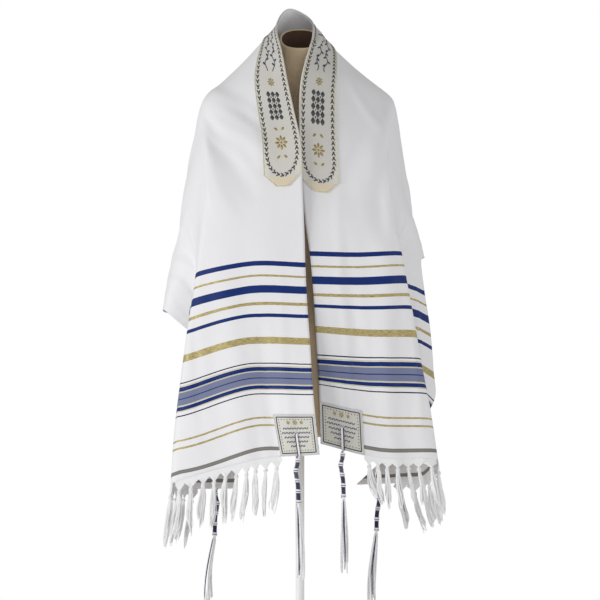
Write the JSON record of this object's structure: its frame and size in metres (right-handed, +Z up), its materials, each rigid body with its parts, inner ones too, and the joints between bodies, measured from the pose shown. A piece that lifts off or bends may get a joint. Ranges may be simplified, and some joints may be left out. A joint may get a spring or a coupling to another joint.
{
  "type": "tallit prayer shawl on a dress form",
  "caption": "Fringed rectangular prayer shawl with woven stripes, satin neckband and corner tassels, draped like a stole over a limbless dress form on a slim stand.",
  "frame": {"origin": "on the floor, centre of the outline seen from above", "axes": "+Z up, -Y towards the front of the garment, +X to the right as seen from the front"},
  "size_m": [0.5282, 0.3494, 1.1728],
  "materials": {
    "cloth": "plain-woven white cloth with woven blue, gold and grey stripes",
    "satin": "silvery cream jacquard satin",
    "fringe_yarn": "knotted white yarn",
    "tassel_cord": "white cord wound with a dark blue one",
    "form_cover": "matt beige jersey",
    "stand_paint": "satin white powder coat"
  },
  "bodies": {
    "root": {"shawl": "cloth", "neckband": "satin", "patch_left_front": "satin", "patch_left_back": "satin", "patch_right_front": "satin", "patch_right_back": "satin", "fringe_left": "fringe_yarn", "fringe_right": "fringe_yarn", "corner_tassel_left_front": "tassel_cord", "corner_tassel_left_back": "tassel_cord", "corner_tassel_right_front": "tassel_cord", "corner_tassel_right_back": "tassel_cord", "dress_form": "form_cover", "pole": "stand_paint", "base": "stand_paint"}
  },
  "joints": []
}
